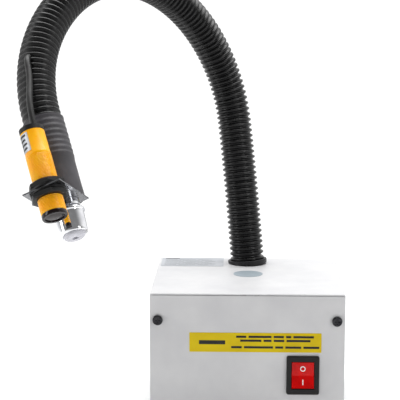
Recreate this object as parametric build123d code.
from build123d import *
import math
import os

# Bench ionizing air unit: a sheet-steel case with a corrugated gooseneck arm that
# carries an air nozzle and a trigger sensor. Millimetres. +X right, +Y to the back,
# +Z up; the origin is the centre of the case's footprint on the bench.

# ---- Case ----
CASE_W = 152.0
CASE_D = 137.0
CASE_H = 100.0
FOOT_H = 5.0
SHEET = 1.2
FOLD_R = 1.5
BASE_Z = FOOT_H
TOP_Z = FOOT_H + CASE_H
FRONT_Y = -CASE_D / 2
REAR_Y = CASE_D / 2
SIDE_GAP = 0.15
FLANGE = 12.0
COVER_SCREW_X = 69.8
COVER_SCREW_Z = 83.7
COVER_SCREW_LOW_Z = 26.0
FOOT_X = 60.0
FOOT_Y = 52.0
FOOT_R = 8.0
M4_R = 2.0
M4_HOLE_R = 2.2
M4_HEAD_R = 4.0
M4_HEAD_H = 2.4
M3_R = 1.5
M3_HEAD_R = 2.8
M3_HEAD_H = 1.6

# ---- Labels ----
LABEL_T = 0.2
WARNING_SIZE = (103.0, 15.5)
WARNING_AT = (6.4, 66.2)
RATING_SIZE = (53.0, 34.0)
RATING_AT = (-47.0, 50.0)
DISC_R = 12.0
DISC_AT = (0.5, 4.0)

# ---- Rocker switch ----
SWITCH_AT = (43.6, 40.3)
BEZEL_SIZE = (25.6, 31.0)
BEZEL_T = 2.0
SWITCH_BODY = (21.6, 27.6, 26.0)
ROCKER_SIZE = (17.2, 21.3)
ROCKER_CLEAR = 0.4
ROCKER_R = 10.7
ROCKER_LOW = 27.0
ROCKER_HIGH = 11.0
ROCKER_WAIST = 2.6
TRUNNION_R = 1.5

# ---- Mains inlet on the back ----
INLET_AT = (-37.0, 38.0)
INLET_FACE = (50.0, 34.0, 3.0)
INLET_BODY = (27.5, 31.0, 24.0)
PIN_WELL = (24.4, 16.6, 17.0)
FUSE_SLOT = (12.4, 7.6, 22.0)
FUSE_CLEAR = 0.35
PIN_PLACES = [(-7.0, -8.0), (7.0, -8.0), (0.0, -3.2)]
PIN_SIZE = (2.0, 4.0)

# ---- Air inlet on the back ----
AIR_AT = (20.0, 34.0)
EARTH_AT = (-8.0, 24.0)
TUBE_R = 4.0
TUBE_BORE_R = 2.6

# ---- Gooseneck arm ----
GLAND_NUT_AF = 36.0
HOSE_R = 14.2
HOSE_BORE_R = 11.5
ARM_FOOT = (0.0, 49.0, TOP_Z)
ARM_LEAN_LEFT = 4.5
ARM_LEAN_BACK = 3.2
# Each stretch is (length, turn in degrees, heading in degrees round the line).
ARM_STRETCHES = [(120.0, 8.2, 105.9), (274.0, 135.1, 231.8), (92.0, 41.3, 265.2), (70.0, 0.0, 0.0)]
PLATE_STATION = sum(length for length, turn, heading in ARM_STRETCHES)
# Stations along the arm where stiff and flexible lengths of hose meet.
FLEX_STARTS = [20.0, 78.0, 166.0, 234.0, 322.0, 394.0]
FLEX_ENDS = [62.0, 120.0, 214.0, 282.0, 362.0, 434.0]
HOSE_END = 522.0
# Lines inside the hose: (distance off the axis, direction round the axis, radius).
CORE_LINE = (6.0, 133.0, 4.0)
AIR_LINE = (6.0, 313.0, TUBE_R)
VOLTAGE_LINE = (7.5, 223.0, 2.5)
SENSOR_LINE = (7.4, 36.5, 2.2)
CORE_END = 440.0
AIR_TUBE_END = 519.0
VOLTAGE_END = 519.0

# ---- Head ----
HEAD_ROLL = 36.5
SENSOR_SET_BACK = 2.0
WASHER_R, WASHER_T = 12.6, 1.5
PLATE_SIZE = (47.5, 29.0)
PLATE_T = 1.0
SLEEVE_LENGTH = 65.0
SLEEVE_R = 14.5
SLEEVE_STEP = 33.0
SPIGOT_R = 13.4
NOZZLE_LENGTH = 25.5
NOZZLE_BORE_R = 8.0
SENSOR_OFFSET = 27.5
SENSOR_R = 9.0
SENSOR_HOLE_R = 9.2
NUT_AF = 24.0
NUT_T = 4.0


def box_at(x0, x1, y0, y1, z0, z1):
    """A box from its low and high corners."""
    middle = ((x0 + x1) / 2, (y0 + y1) / 2, (z0 + z1) / 2)
    return Pos(*middle) * Box(x1 - x0, y1 - y0, z1 - z0)


def rod(plane, radius, start, end):
    """A round bar along a plane's normal, from one height over the plane to another."""
    return extrude(plane.offset(start) * Circle(radius), amount=end - start)


def ring(plane, outer, inner, start, end):
    """A round tube along a plane's normal."""
    return extrude(plane.offset(start) * (Circle(outer) - Circle(inner)), amount=end - start)


def hexagon(plane, across_flats, hole, start, end):
    """A hexagonal nut along a plane's normal, with one flat across the plane's x axis."""
    outline = RegularPolygon(across_flats / 2, 6, major_radius=False, rotation=30)
    section = outline - Circle(hole) if hole else outline
    return extrude(plane.offset(start) * section, amount=end - start)


def pan_screw(plane, shank_r, head_r, head_h, length):
    """A pan-head screw whose head sits on the plane; the shank runs against its normal."""
    head = rod(plane, head_r, 0, head_h)
    head = fillet(head.edges().group_by(Axis(plane.origin, plane.z_dir))[-1], head_h * 0.45)
    cross = Rectangle(head_r * 1.1, head_h * 0.35) + Rectangle(head_h * 0.35, head_r * 1.1)
    head -= extrude(plane.offset(head_h * 0.4) * cross, amount=head_h)
    return head + rod(plane, shank_r, -length, 0)


def turn_about(vector, axis, degrees):
    """A vector turned round a unit axis through the origin."""
    angle = math.radians(degrees)
    along = axis * (axis.dot(vector) * (1 - math.cos(angle)))
    return vector * math.cos(angle) + axis.cross(vector) * math.sin(angle) + along


# ---- The arm's line ----
def arm_start():
    """The plane at the foot of the arm, leaning a little back and to the left."""
    right, back, up = Vector(1, 0, 0), Vector(0, 1, 0), Vector(0, 0, 1)
    leaned = turn_about(up, right, -ARM_LEAN_BACK)
    return Plane(origin=ARM_FOOT, x_dir=turn_about(right, back, -ARM_LEAN_LEFT),
                 z_dir=turn_about(leaned, back, -ARM_LEAN_LEFT))


def rolled(plane, degrees):
    """A plane turned about its own normal."""
    return Plane(origin=plane.origin, x_dir=turn_about(plane.x_dir, plane.z_dir, degrees),
                 z_dir=plane.z_dir)


def bend_side(plane, heading):
    """The direction that a stretch curves towards."""
    angle = math.radians(heading)
    return plane.x_dir * math.cos(angle) + plane.y_dir * math.sin(angle)


def step_along(plane, length, turn, heading):
    """The plane at the end of one stretch of constant curvature."""
    if turn == 0:
        return plane.offset(length)
    side = bend_side(plane, heading)
    radius = length / math.radians(turn)
    centre = plane.origin + side * radius
    hinge = plane.z_dir.cross(side)
    origin = centre + turn_about(plane.origin - centre, hinge, turn)
    x_dir = turn_about(plane.x_dir, hinge, turn)
    return Plane(origin=origin, x_dir=x_dir, z_dir=turn_about(plane.z_dir, hinge, turn))


def arm_pieces(start, end):
    """The arm between two stations, as (plane at its start, length, turn, heading) pieces."""
    pieces = []
    plane = arm_start()
    station = 0.0
    for length, turn, heading in ARM_STRETCHES:
        low = max(start, station)
        high = min(end, station + length)
        if high - low > 1e-6:
            rate = turn / length
            here = step_along(plane, low - station, rate * (low - station), heading)
            pieces.append((here, high - low, rate * (high - low), heading))
        plane = step_along(plane, length, turn, heading)
        station += length
    return pieces


def arm_plane(station):
    """The plane square to the arm at a station, with its normal towards the nozzle."""
    start, length, turn, heading = arm_pieces(0, station)[-1]
    return step_along(start, length, turn, heading)


def along_arm(profile, start, end):
    """A profile carried along the arm from one station to another."""
    solid = None
    for plane, length, turn, heading in arm_pieces(start, end):
        face = plane * profile
        if turn == 0:
            piece = extrude(face, amount=length)
        else:
            side = bend_side(plane, heading)
            centre = plane.origin + side * (length / math.radians(turn))
            piece = revolve(face, Axis(centre, plane.z_dir.cross(side)), turn)
        solid = piece if solid is None else solid + piece
    return solid


def line_profile(line, bore=0.0):
    """The round section of a line that runs inside the hose."""
    distance, direction, radius = line
    angle = math.radians(direction)
    section = Circle(radius) - Circle(bore) if bore else Circle(radius)
    return Pos(distance * math.cos(angle), distance * math.sin(angle)) * section


def line_plane(line, station):
    """The plane on a line's own axis at a station."""
    distance, direction, radius = line
    plane = arm_plane(station)
    angle = math.radians(direction)
    shift = plane.x_dir * (distance * math.cos(angle)) + plane.y_dir * (distance * math.sin(angle))
    return Plane(origin=plane.origin + shift, x_dir=plane.x_dir, z_dir=plane.z_dir)


# Planes that face outwards from the case, with x to the right seen from the front.
HOSE_ROOT = arm_start()


def front_at(x, z):
    """A plane on the front face, facing out, at an x and a height."""
    return Plane(origin=(x, FRONT_Y, z), x_dir=(1, 0, 0), z_dir=(0, -1, 0))


def rear_at(x, z):
    """A plane on the back face, facing out, at an x and a height."""
    return Plane(origin=(x, REAR_Y, z), x_dir=(-1, 0, 0), z_dir=(0, 1, 0))


def under_at(x, y):
    """A plane under the tray, facing down, at an x and a y."""
    return Plane(origin=(x, y, 0), x_dir=(1, 0, 0), z_dir=(0, 0, -1))


def cover_screw_planes():
    """Where the six cover screws sit: two in front and four behind."""
    planes = []
    for x in (-COVER_SCREW_X, COVER_SCREW_X):
        planes.append(front_at(x, COVER_SCREW_Z))
        planes.append(rear_at(x, COVER_SCREW_Z))
        planes.append(rear_at(x, COVER_SCREW_LOW_Z))
    return planes


def foot_places():
    """The four corners where the feet stand."""
    return [(x, y) for x in (-FOOT_X, FOOT_X) for y in (-FOOT_Y, FOOT_Y)]


# ---- Case pieces ----
def base_tray():
    """Front, bottom and back in one folded sheet."""
    outer = box_at(-CASE_W / 2, CASE_W / 2, FRONT_Y, REAR_Y, BASE_Z, TOP_Z)
    outer = fillet(outer.edges().filter_by(Axis.X), FOLD_R)
    inner = box_at(-CASE_W, CASE_W, FRONT_Y + SHEET, REAR_Y - SHEET, BASE_Z + SHEET, TOP_Z + 1)
    tray = outer - inner
    tray -= box_at(-CASE_W, CASE_W, FRONT_Y - 1, REAR_Y + 1, TOP_Z - FOLD_R - SIDE_GAP, TOP_Z + 1)
    for plane in cover_screw_planes():
        tray -= rod(plane, M4_HOLE_R, -4, 1)
    for x, y in foot_places():
        tray -= rod(under_at(x, y), M4_R + 0.05, -20, 1)
    tray -= switch_cutout()
    tray -= box_at(INLET_AT[0] - INLET_BODY[0] / 2 - 0.2, INLET_AT[0] + INLET_BODY[0] / 2 + 0.2,
                   REAR_Y - 5, REAR_Y + 5,
                   INLET_AT[1] - INLET_BODY[1] / 2 - 0.2, INLET_AT[1] + INLET_BODY[1] / 2 + 0.2)
    for side in (-1, 1):
        tray -= rod(rear_at(INLET_AT[0] + side * 20, INLET_AT[1]), M3_R + 0.2, -4, 1)
    tray -= rod(rear_at(*AIR_AT), 6.1, -4, 1)
    tray -= rod(rear_at(*EARTH_AT), M4_R + 0.1, -4, 1)
    return tray


def switch_cutout():
    """The hole in the front that the switch snaps into."""
    x, z = SWITCH_AT
    w, h = SWITCH_BODY[0] / 2 + 0.2, SWITCH_BODY[1] / 2 + 0.2
    return box_at(x - w, x + w, FRONT_Y - 1, FRONT_Y + 4, z - h, z + h)


def top_cover():
    """Top and both sides in one folded sheet, with flanges behind the front and the back."""
    inside_x = CASE_W / 2 - SHEET
    low_z = BASE_Z + SHEET + SIDE_GAP
    outer = box_at(-CASE_W / 2, CASE_W / 2, FRONT_Y, REAR_Y, low_z, TOP_Z)
    top_edges = outer.edges().group_by(Axis.Z)[-1]
    outer = fillet(top_edges, FOLD_R)
    cover = outer - box_at(-inside_x, inside_x, FRONT_Y - 1, REAR_Y + 1, low_z - 1, TOP_Z - SHEET)
    # the tray's front and back walls stand between the cover's sides, under its top
    wall = SHEET + SIDE_GAP
    lip_z = TOP_Z - FOLD_R
    cover -= box_at(-CASE_W, CASE_W, FRONT_Y - 1, FRONT_Y + wall, low_z - 1, lip_z)
    cover -= box_at(-CASE_W, CASE_W, REAR_Y - wall, REAR_Y + 1, low_z - 1, lip_z)
    for side in (-1, 1):
        edge = side * inside_x
        inner = side * (inside_x - FLANGE)
        x0, x1 = min(edge, inner), max(edge, inner)
        cover += box_at(x0, x1, FRONT_Y + wall, FRONT_Y + wall + SHEET, low_z, TOP_Z - SHEET)
        cover += box_at(x0, x1, REAR_Y - wall - SHEET, REAR_Y - wall, low_z, TOP_Z - SHEET)
    for plane in cover_screw_planes():
        cover -= rod(plane, M4_R + 0.05, -4, 1)
    cover -= rod(HOSE_ROOT, HOSE_R + 1.3, -6, 6)
    return cover


def cover_screws():
    """The pan-head screws that hold the cover to the tray."""
    return Compound([pan_screw(plane, M4_R, M4_HEAD_R, M4_HEAD_H, 8) for plane in cover_screw_planes()])


def rubber_feet():
    """Four round feet, each with a well for its screw."""
    feet = []
    for x, y in foot_places():
        plane = Plane(origin=(x, y, 0))
        foot = rod(plane, FOOT_R, 0, FOOT_H)
        foot = fillet(foot.edges().group_by(Axis.Z)[0], 1.0)
        foot -= rod(plane, 4.6, -1, 2.6)
        foot -= rod(plane, M4_R + 0.3, 0, FOOT_H + 1)
        feet.append(foot)
    return Compound(feet)


def foot_screws():
    """The screws through the feet into the tray."""
    screws = []
    for x, y in foot_places():
        seat = Plane(origin=(x, y, 2.6), x_dir=(1, 0, 0), z_dir=(0, 0, -1))
        screws.append(pan_screw(seat, M4_R, M4_HEAD_R, 2.0, 7.5))
    return Compound(screws)


def warning_label():
    """The caution label over the switch."""
    plane = front_at(*WARNING_AT)
    return extrude(plane * RectangleRounded(*WARNING_SIZE, 0.6), amount=LABEL_T)


def rating_label():
    """The rating label on the top, at the left of the hose."""
    plane = Plane(origin=(*RATING_AT, TOP_Z))
    return extrude(plane * RectangleRounded(*RATING_SIZE, 1.5), amount=LABEL_T)


def round_label():
    """The small disc on the top, in front of the hose."""
    return rod(Plane(origin=(*DISC_AT, TOP_Z)), DISC_R, 0, LABEL_T)


# ---- Rocker switch ----
def switch_housing():
    """The switch's bezel and body, with a well for the rocker."""
    plane = front_at(*SWITCH_AT)
    housing = extrude(plane * RectangleRounded(*BEZEL_SIZE, 1.6), amount=BEZEL_T)
    housing = fillet(housing.edges().group_by(Axis.Y)[0], 0.7)
    housing += extrude(plane * Rectangle(*SWITCH_BODY[:2]), amount=-SWITCH_BODY[2])
    well_size = (ROCKER_SIZE[0] + 2 * ROCKER_CLEAR, ROCKER_SIZE[1] + 2 * ROCKER_CLEAR)
    housing -= extrude(plane.offset(BEZEL_T) * Rectangle(*well_size), amount=-16)
    housing -= rod(rocker_axis_plane(), TRUNNION_R + 0.05, -well_size[0] / 2 - 1.4, well_size[0] / 2 + 1.4)
    return housing


def rocker_plane():
    """The rocker's axis, across the switch."""
    return front_at(*SWITCH_AT).offset(-0.5)


def rocker_axis_plane():
    """A plane at the rocker's middle, facing along its trunnions."""
    return Plane(origin=rocker_plane().origin, z_dir=(1, 0, 0))


def switch_rocker():
    """The rocker's side outline, swept across its width: two flats that meet in a shallow vee."""
    plane = rocker_plane()
    side = Plane(origin=plane.origin, x_dir=plane.y_dir, z_dir=plane.x_dir)
    low, high = math.radians(180 - ROCKER_LOW), math.radians(ROCKER_HIGH)
    proud = Vector(ROCKER_R * math.cos(low), ROCKER_R * math.sin(low))
    sunk = Vector(ROCKER_R * math.cos(high), ROCKER_R * math.sin(high))
    outline = Curve() + [
        Polyline((-8.5, -5.5), (-ROCKER_R, 0)),
        ThreePointArc((-ROCKER_R, 0), (ROCKER_R * math.cos(low + 0.2),
                                       ROCKER_R * math.sin(low + 0.2)), proud),
        Polyline(proud, (0, ROCKER_WAIST), sunk),
        ThreePointArc(sunk, (ROCKER_R * math.cos(high / 2), ROCKER_R * math.sin(high / 2)), (ROCKER_R, 0)),
        Polyline((ROCKER_R, 0), (8.5, -5.5), (-8.5, -5.5)),
    ]
    half_width = ROCKER_SIZE[0] / 2
    blank = extrude(side * make_face(outline), amount=half_width, both=True)
    return blank + rod(rocker_axis_plane(), TRUNNION_R, -half_width - 1.6, half_width + 1.6)


def switch_terminals():
    """The tabs at the back of the switch."""
    plane = front_at(*SWITCH_AT).offset(-SWITCH_BODY[2])
    blades = []
    for x in (-5.0, 5.0):
        for y in (-7.0, 7.0):
            blade = Rectangle(0.8, 6.3)
            blades.append(extrude(plane * (Pos(x, y) * blade), amount=-9))
    return Compound(blades)


# ---- Mains inlet ----
def mains_inlet():
    """The inlet: flange, body, pin well and fuse drawer slot."""
    plane = rear_at(*INLET_AT)
    flange = SlotOverall(INLET_FACE[0], 22) + RectangleRounded(INLET_BODY[0] + 2, INLET_FACE[1], 2)
    inlet = extrude(plane * flange, amount=INLET_FACE[2])
    inlet += extrude(plane * Rectangle(*INLET_BODY[:2]), amount=-INLET_BODY[2])
    well = Polyline((-12.2, -4), (-8, -8.3), (8, -8.3), (12.2, -4), (12.2, 8.3), (-12.2, 8.3), close=True)
    face = plane.offset(INLET_FACE[2])
    inlet -= extrude(face * (Pos(0, -5.5) * make_face(well)), amount=-PIN_WELL[2])
    slot = Rectangle(FUSE_SLOT[0] + 2 * FUSE_CLEAR, FUSE_SLOT[1] + 2 * FUSE_CLEAR)
    inlet -= extrude(face * (Pos(0, 9.6) * slot), amount=-FUSE_SLOT[2] - 1)
    for side in (-1, 1):
        inlet -= rod(rear_at(INLET_AT[0] + side * 20, INLET_AT[1]), M3_R + 0.15, -1, 5)
    for x, y in PIN_PLACES:
        slot = Pos(x, y) * Rectangle(PIN_SIZE[0] + 0.04, PIN_SIZE[1] + 0.04)
        inlet -= extrude(plane.offset(-INLET_BODY[2] - 1) * slot, amount=INLET_BODY[2])
    return inlet


def inlet_pins():
    """Three contact pins with tabs behind."""
    plane = rear_at(*INLET_AT)
    pins = []
    for x, y in PIN_PLACES:
        blade = Pos(x, y) * Rectangle(*PIN_SIZE)
        pins.append(extrude(plane.offset(-INLET_BODY[2] - 8) * blade, amount=INLET_BODY[2] + 6))
    return Compound(pins)


def fuse_drawer():
    """A drawer with a cradle for the fuse and a thumb lip."""
    plane = rear_at(*INLET_AT).offset(INLET_FACE[2])
    drawer = extrude(plane * (Pos(0, 9.6) * Rectangle(*FUSE_SLOT[:2])), amount=-FUSE_SLOT[2])
    drawer += extrude(plane.offset(0.3) * (Pos(0, 9.6) * RectangleRounded(16, 8, 1)), amount=1.5)
    drawer += extrude(plane * (Pos(0, 9.6) * Rectangle(*FUSE_SLOT[:2])), amount=0.3)
    drawer -= extrude(plane.offset(-1.0) * (Pos(0, 10.8) * Rectangle(5.6, 5.6)), amount=-20.6)
    drawer -= extrude(plane.offset(0.9) * (Pos(0, 12.8) * Rectangle(9, 2.4)), amount=1.5)
    return drawer


def fuse():
    """The glass fuse that lies in the drawer."""
    x, z = INLET_AT
    plane = rear_at(x, z + 10.6).offset(INLET_FACE[2])
    return rod(plane, 2.5, -21.4, -1.2)


# ---- Air inlet ----
def air_inlet():
    """Bulkhead push-in fitting: a flanged body with a stepped bore."""
    plane = rear_at(*AIR_AT)
    body = hexagon(plane, 16, 0, 0, 5) + rod(plane, 8.0, 5, 13)
    body += rod(plane, 6.0, -14, 0)
    body += rod(plane, 4.0, -24, -14)
    body -= rod(plane, 4.06, -4, 14)
    body -= rod(plane, 5.4, 4, 14)
    body -= rod(plane, 2.5, -25, 0)
    return body


def air_inlet_nut():
    """The nut that holds the fitting from inside."""
    plane = rear_at(*AIR_AT)
    return hexagon(plane, 16, 6.05, -SHEET - 4, -SHEET)


def release_collet():
    """The ring that lets the supply tube go when it is pushed in."""
    plane = rear_at(*AIR_AT)
    collet = ring(plane, 5.3, 4.06, 5.4, 13.2) + ring(plane, 7.2, 4.06, 14.4, 16.0)
    return collet + ring(plane, 5.3, 4.06, 13.2, 14.4)


def tube_run(points, radius, bore=0.0, bend=14.0):
    """A tube along straight runs joined by tangent arcs."""
    path = FilletPolyline(*points, radius=bend)
    section = Circle(radius) - Circle(bore) if bore else Circle(radius)
    start = Plane(origin=path @ 0, z_dir=path % 0)
    return sweep(start * section, path=path)


VALVE_Y = 12.0


def supply_tube():
    """The tube from the inlet fitting's tail to the valve's tail, pushed over both."""
    return ring(rear_at(*AIR_AT), TUBE_R + 1.4, TUBE_R + 0.05, -(REAR_Y - VALVE_Y - 16), -18)


def solenoid_valve():
    """The valve body with its two tails, its stem and its foot."""
    x, y, z = AIR_AT[0], VALVE_Y, AIR_AT[1]
    body = box_at(x - 11, x + 11, y - 12, y + 12, z - 9, z + 9)
    body += rod(Plane(origin=(x, y, z), z_dir=(0, 1, 0)), 4.0, 12, 22)
    body += rod(Plane(origin=(x, y, z), z_dir=(0, 0, 1)), 4.5, 9, 36)
    body -= rod(Plane(origin=(x, y, z), z_dir=(0, 1, 0)), 2.5, -4, 23)
    body -= rod(Plane(origin=(x, y, z), z_dir=(0, -1, 0)), 2.5, 6, 23)
    body += box_at(x - 8, x + 8, y - 8, y + 8, BASE_Z + SHEET, z - 9)
    return body


def valve_coil():
    """The coil over the valve's stem."""
    x, y, z = AIR_AT[0], VALVE_Y, AIR_AT[1]
    plane = Plane(origin=(x, y, z), z_dir=(0, 0, 1))
    coil = extrude(plane.offset(9) * RectangleRounded(22, 22, 3), amount=25)
    return coil - rod(plane, 4.53, 8, 40)


# ---- Electrics ----
MODULE_BOX = (-52.0, -12.0, -58.0, -10.0, 36.0)
BOARD_BOX = (-4.0, 70.0, -30.0, -4.0)
BOARD_Z = 14.0


def high_voltage_module():
    """The potted supply for the emitter."""
    x0, x1, y0, y1, height = MODULE_BOX
    floor = BASE_Z + SHEET
    block = box_at(x0 + 4, x1 - 4, y0, y1, floor, floor + height)
    block = fillet(block.edges().filter_by(Axis.Z), 3)
    block += box_at(x0, x1, y0 + 14, y1 - 14, floor, floor + 3)
    for x in (x0 + 2, x1 - 2):
        block -= rod(Plane(origin=(x, (y0 + y1) / 2, floor)), M3_R + 0.05, -1, 4)
    return block


def m3_screws():
    """The two inlet screws and the two module screws."""
    x0, x1, y0, y1, height = MODULE_BOX
    floor = BASE_Z + SHEET
    screws = []
    for side in (-1, 1):
        plane = rear_at(INLET_AT[0] + side * 20, INLET_AT[1]).offset(INLET_FACE[2])
        screws.append(pan_screw(plane, M3_R, M3_HEAD_R, M3_HEAD_H, 9))
    for x in (x0 + 2, x1 - 2):
        plane = Plane(origin=(x, (y0 + y1) / 2, floor + 3))
        screws.append(pan_screw(plane, M3_R, 1.9, M3_HEAD_H, 2.9))
    return Compound(screws)


def board_corners():
    """The control board's four fixing holes."""
    x0, x1, y0, y1 = BOARD_BOX
    return [(x, y) for x in (x0 + 4, x1 - 4) for y in (y0 + 4, y1 - 4)]


def control_board():
    """The bare board with its relay, capacitors and terminal block soldered on."""
    x0, x1, y0, y1 = BOARD_BOX
    top = BOARD_Z + 1.6
    board = box_at(x0, x1, y0, y1, BOARD_Z, top)
    for x, y in board_corners():
        board -= rod(Plane(origin=(x, y, 0)), 1.6, BOARD_Z - 1, top + 1)
    board += box_at(x0 + 9, x0 + 25, y0 + 5, y0 + 17, top, top + 8)
    for x in (x0 + 33, x0 + 44):
        board += rod(Plane(origin=(x, y0 + 8, 0)), 4.0, top, top + 7)
    return board


def terminal_block():
    """The screw terminals on the board."""
    x0, x1, y0, y1 = BOARD_BOX
    top = BOARD_Z + 1.6
    block = box_at(x0 + 34, x0 + 64, y1 - 11, y1 - 2, top, top + 10)
    for step in range(6):
        x = x0 + 36.5 + step * 5
        block -= rod(Plane(origin=(x, y1 - 6.5, 0)), 1.6, top + 6, top + 11)
    return block


def board_standoffs():
    """Spacers that carry the board off the floor of the tray."""
    posts = []
    for x, y in board_corners():
        plane = Plane(origin=(x, y, 0))
        posts.append(hexagon(plane, 5.5, 0, BASE_Z + SHEET, BOARD_Z) + rod(plane, 1.45, BOARD_Z,
                                                                           BOARD_Z + 3))
    return Compound(posts)


def earth_stud():
    """The earth screw through the back: its collar outside, its free end for a ring terminal."""
    plane = rear_at(*EARTH_AT)
    return rod(plane, M4_R, -12, 12) + hexagon(plane, 7, 0, 0, 3.2)


def earth_nut():
    """The nut that holds the earth screw from inside."""
    return hexagon(rear_at(*EARTH_AT), 7, M4_R + 0.05, -SHEET - 3.2, -SHEET)


def mains_wires():
    """Live and neutral leads from the inlet to the switch, laid along the floor."""
    x, z = INLET_AT
    sx, sz = SWITCH_AT
    back = REAR_Y - INLET_BODY[2] - 8
    front = FRONT_Y + SWITCH_BODY[2] + 9
    wires = []
    for side, lane in ((-1, 0.0), (1, 4.0)):
        tab = side * 7
        points = [(x + tab * -1, back, z - 8), (x + tab * -1, back - 8 - lane, z - 8),
                  (x + tab * -1, back - 8 - lane, 76 + lane), (sx + tab * 0.7, 4 + lane, 76 + lane),
                  (sx + tab * 0.7, 4 + lane, sz + 7), (sx + side * 5, front, sz + 7)]
        wires.append(tube_run(points, 1.1, bend=3.5))
    return Compound(wires)


# ---- Gland ----
def hose_gland():
    """The low ring that the hose stands in, with its thread down through the top."""
    plane = HOSE_ROOT
    collar = rod(plane, HOSE_R + 2.2, 0, 3.4)
    collar = fillet(collar.edges().group_by(Axis(plane.origin, plane.z_dir))[-1], 0.6)
    collar += rod(plane, HOSE_R + 1.2, -12, 0.2)
    cut = box_at(-100, 100, -100, 100, TOP_Z - 5, TOP_Z)
    collar -= cut - rod(plane, HOSE_R + 1.2, -20, 20)
    collar -= rod(plane, HOSE_R + 0.1, -30, 30)
    return collar


def gland_nut():
    """The nut that holds the gland from inside."""
    flat = Plane(origin=ARM_FOOT, x_dir=(0, 1, 0), z_dir=(0, 0, 1))
    nut = hexagon(flat, GLAND_NUT_AF, 0, -SHEET - 6, -SHEET)
    return nut - rod(HOSE_ROOT, HOSE_R + 1.35, -30, 30)


# ---- Arm ----
def hose_length(start, end):
    """A length of hose between two stations."""
    return along_arm(Circle(HOSE_R) - Circle(HOSE_BORE_R), start, end)


def hose_root():
    """The hose from inside the gland to the first flexible length."""
    low = ring(HOSE_ROOT, HOSE_R, HOSE_BORE_R, -12, 0)
    return low + hose_length(0, FLEX_STARTS[0])


def line_to(line, bottom, end, bore=0.0):
    """A line from below the gland up to a station on the arm."""
    distance, direction, radius = line
    section = line_profile(line, bore)
    stub = extrude(HOSE_ROOT.offset(bottom) * section, amount=-bottom)
    return stub + along_arm(section, 0, end)


def air_tube():
    """The air line, whole, up the inside of the hose."""
    return line_to(AIR_LINE, -14, AIR_TUBE_END, TUBE_BORE_R)


def voltage_cable():
    """The high-voltage cable, whole, up the inside of the hose."""
    return line_to(VOLTAGE_LINE, -30, VOLTAGE_END)


def gooseneck_core():
    """The stiff core that holds the arm where it is put."""
    return line_to(CORE_LINE, -12, CORE_END)


def sensor_lead_in_arm():
    """The sensor's lead as far as the hole in the hose."""
    return line_to(SENSOR_LINE, -30, FLEX_ENDS[-1])


# ---- Head ----
HEAD = rolled(arm_plane(PLATE_STATION), HEAD_ROLL)
SENSOR = Plane(origin=HEAD.origin + HEAD.x_dir * SENSOR_OFFSET, x_dir=HEAD.x_dir, z_dir=HEAD.z_dir)
BARREL = SENSOR.offset(-SENSOR_SET_BACK)
CABLE_HOLE_STATION = 446.0


def cable_exit():
    """The plane in the hose wall that the sensor lead comes out through, facing outwards."""
    middle = arm_plane(CABLE_HOLE_STATION)
    outwards = SENSOR.x_dir - middle.z_dir * middle.z_dir.dot(SENSOR.x_dir)
    return Plane(origin=middle.origin, x_dir=middle.z_dir, z_dir=outwards.normalized())


def head_hose():
    """The last length of hose, with the hole for the lead."""
    return hose_length(FLEX_ENDS[-1], HOSE_END) - sensor_lead(SENSOR_LINE[2] + 0.3)


def shrink_sleeve():
    """A sleeve shrunk over the hose end and, below it, over the nozzle's spigot."""
    top = -SLEEVE_LENGTH
    sleeve = ring(HEAD, SLEEVE_R + 0.6, HOSE_R + 0.02, top, top + SLEEVE_STEP)
    sleeve += ring(HEAD, SLEEVE_R, SPIGOT_R + 0.02, top + SLEEVE_STEP, -0.5)
    return sleeve


def sensor_bracket():
    """A thin plate with a hole for the nozzle's spigot and one for the sensor."""
    centre = SENSOR_OFFSET / 2 + 1.2
    plate = Pos(centre, 0) * Rectangle(*PLATE_SIZE)
    holes = Circle(9.05) + Pos(SENSOR_OFFSET, 0) * Circle(SENSOR_HOLE_R)
    return extrude(HEAD.offset(-PLATE_T / 2) * (plate - holes), amount=PLATE_T)


def nozzle():
    """Turned and plated: spigot up the hose, neck, flare, flange and tapered barrel."""
    outline = Polyline((NOZZLE_BORE_R, -31), (SPIGOT_R, -31), (SPIGOT_R, -2), (9.0, -2), (9.0,
                                                                                          0.5), (9.8, 0.5),
                       (9.8, 6.0), (12.0, 8.0), (12.0, 9.6), (11.0, 10.2), (10.2, NOZZLE_LENGTH - 1.5),
                       (8.7, NOZZLE_LENGTH), (NOZZLE_BORE_R, NOZZLE_LENGTH), close=True)
    profile = Plane(origin=HEAD.origin, x_dir=HEAD.x_dir, z_dir=HEAD.y_dir * -1) * make_face(outline)
    return revolve(profile, Axis(HEAD.origin, HEAD.z_dir), 360)


def nozzle_insulator():
    """The white insert: a bored rod with a domed end that stands out of the barrel."""
    body = rod(HEAD, NOZZLE_BORE_R - 0.02, -16, NOZZLE_LENGTH + 2.8)
    body = fillet(body.edges().group_by(Axis(HEAD.origin, HEAD.z_dir))[-1], 2.6)
    body -= rod(HEAD, 5.0, -17, NOZZLE_LENGTH - 3)
    return body - rod(HEAD, 2.2, 0, NOZZLE_LENGTH + 4)


def emitter_pin():
    """The needle and its socket, held on the nozzle's axis."""
    pin = rod(HEAD, 1.0, -14, NOZZLE_LENGTH - 6)
    tip = HEAD.offset(NOZZLE_LENGTH - 6)
    pin += extrude(tip * Circle(1.0), amount=4.0, taper=13)
    spider = Rectangle(9.7, 1.6) + Rectangle(1.6, 9.7)
    return pin + extrude(HEAD.offset(-14) * spider, amount=6)


def sensor_barrel():
    """The moulded barrel: threaded from the middle down, plain and slimmer at the top."""
    barrel = rod(BARREL, SENSOR_R, -26.6, 19.0)
    barrel += rod(BARREL, SENSOR_R - 0.25, -44.0, -26.6)
    barrel -= rod(BARREL, SENSOR_R - 1.6, 12.0, 20.0)
    return barrel - rod(BARREL, SENSOR_R - 1.6, -45.0, -40.0)


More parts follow.
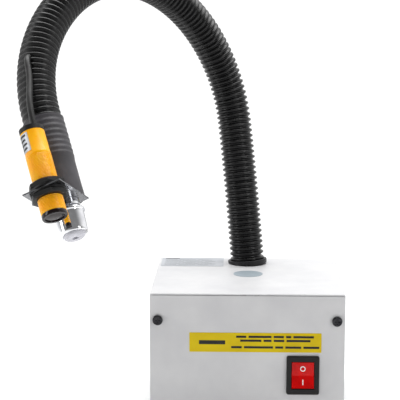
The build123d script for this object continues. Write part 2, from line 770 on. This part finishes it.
def sensor_nuts():
    """The two thin hexagonal nuts that clamp the barrel to the bracket."""
    low, high = PLATE_T / 2 + WASHER_T, PLATE_T / 2 + WASHER_T + NUT_T
    upper = hexagon(SENSOR, NUT_AF, SENSOR_R + 0.03, -high, -low)
    lower = hexagon(SENSOR, NUT_AF, SENSOR_R + 0.03, low, high)
    return Compound([upper, lower])


def sensor_washers():
    """A rubbery washer on each side of the bracket, under the nuts."""
    low, high = PLATE_T / 2, PLATE_T / 2 + WASHER_T
    upper = ring(SENSOR, WASHER_R, SENSOR_R + 0.05, -high, -low)
    lower = ring(SENSOR, WASHER_R, SENSOR_R + 0.05, low, high)
    return Compound([upper, lower])


def sensor_lens_cap():
    """The cap over the sensor's lens."""
    cap = rod(BARREL, SENSOR_R - 1.65, 12.0, 19.0)
    cap += rod(BARREL, SENSOR_R, 19.0, 22.0)
    return cap - rod(BARREL, SENSOR_R - 2.2, 21.0, 23.0)


def sensor_rear_cap():
    """The cap at the back, with holes for the lead and the trimmer."""
    cap = rod(BARREL, SENSOR_R - 0.25, -47.5, -44.0)
    cap += rod(BARREL, SENSOR_R - 1.65, -44.0, -40.0)
    cap -= rod(trimmer_plane(), 2.06, -1, 4.5)
    cap -= rod(rear_cable_plane(), SENSOR_LINE[2] + 0.03, -1, 12)
    return cap


def trimmer_plane():
    """Where the sensitivity screw sits, facing into the sensor."""
    return Plane(origin=BARREL.offset(-47.5).origin + BARREL.y_dir * 4.6, x_dir=BARREL.x_dir,
                 z_dir=BARREL.z_dir)


def rear_cable_plane():
    """Where the lead enters the rear cap, facing into the sensor."""
    return Plane(origin=BARREL.offset(-47.5).origin - BARREL.y_dir * 2.6, x_dir=BARREL.x_dir,
                 z_dir=BARREL.z_dir)


def sensitivity_trimmer():
    """The slotted screw in the rear cap."""
    screw = rod(trimmer_plane(), 2.0, 0.4, 4.4)
    return screw - extrude(trimmer_plane().offset(0.4) * Rectangle(0.7, 5), amount=0.9)


def sensor_lead(radius=SENSOR_LINE[2]):
    """From the line inside the hose, out through its wall and down into the sensor's back."""
    hole = cable_exit()
    entry = rear_cable_plane()
    points = [line_plane(SENSOR_LINE, FLEX_ENDS[-1] + 0.4).origin,
              line_plane(SENSOR_LINE, CABLE_HOLE_STATION - 6).origin,
              hole.offset(HOSE_R + 3).origin,
              hole.offset(HOSE_R + 7).origin + SENSOR.z_dir * 20,
              entry.offset(-16).origin, entry.offset(6).origin]
    path = FilletPolyline(*points, radius=[3.0, 5.0, 12.0, 9.0])
    section = Plane(origin=path @ 0, z_dir=path % 0) * Circle(radius)
    return sweep(section, path=path)


def hose_parts():
    """The hose above its root, as flexible lengths with a stiff link between each two."""
    parts = {}
    for index, (start, end) in enumerate(zip(FLEX_STARTS, FLEX_ENDS), 1):
        parts[f"hose_flex_{index}"] = hose_length(start, end)
    for index, (start, end) in enumerate(zip(FLEX_ENDS[:-1], FLEX_STARTS[1:]), 1):
        parts[f"hose_link_{index}"] = hose_length(start, end)
    return parts


PARTS = {
    "base_tray": base_tray(),
    "top_cover": top_cover(),
    "cover_screws": cover_screws(),
    "rubber_feet": rubber_feet(),
    "foot_screws": foot_screws(),
    "warning_label": warning_label(),
    "rating_label": rating_label(),
    "round_label": round_label(),
    "switch_housing": switch_housing(),
    "switch_rocker": switch_rocker(),
    "switch_terminals": switch_terminals(),
    "mains_inlet": mains_inlet(),
    "inlet_pins": inlet_pins(),
    "fuse_drawer": fuse_drawer(),
    "fuse": fuse(),
    "m3_screws": m3_screws(),
    "air_inlet": air_inlet(),
    "air_inlet_nut": air_inlet_nut(),
    "release_collet": release_collet(),
    "solenoid_valve": solenoid_valve(),
    "valve_coil": valve_coil(),
    "supply_tube": supply_tube(),
    "high_voltage_module": high_voltage_module(),
    "control_board": control_board(),
    "terminal_block": terminal_block(),
    "board_standoffs": board_standoffs(),
    "earth_stud": earth_stud(),
    "earth_nut": earth_nut(),
    "mains_wires": mains_wires(),
    "hose_gland": hose_gland(),
    "gland_nut": gland_nut(),
    "hose_root": hose_root(),
    "gooseneck_core": gooseneck_core(),
    "air_tube": air_tube(),
    "voltage_cable": voltage_cable(),
    "sensor_lead_in_arm": sensor_lead_in_arm(),
    "head_hose": head_hose(),
    "shrink_sleeve": shrink_sleeve(),
    "sensor_bracket": sensor_bracket(),
    "nozzle": nozzle(),
    "nozzle_insulator": nozzle_insulator(),
    "emitter_pin": emitter_pin(),
    "sensor_barrel": sensor_barrel(),
    "sensor_nuts": sensor_nuts(),
    "sensor_washers": sensor_washers(),
    "sensor_lens_cap": sensor_lens_cap(),
    "sensor_rear_cap": sensor_rear_cap(),
    "sensitivity_trimmer": sensitivity_trimmer(),
    "sensor_lead": sensor_lead(),
}
PARTS.update(hose_parts())

os.makedirs("parts", exist_ok=True)
for node, shape in PARTS.items():
    export_step(shape, f"parts/{node}.step")
print(len(PARTS), "parts")
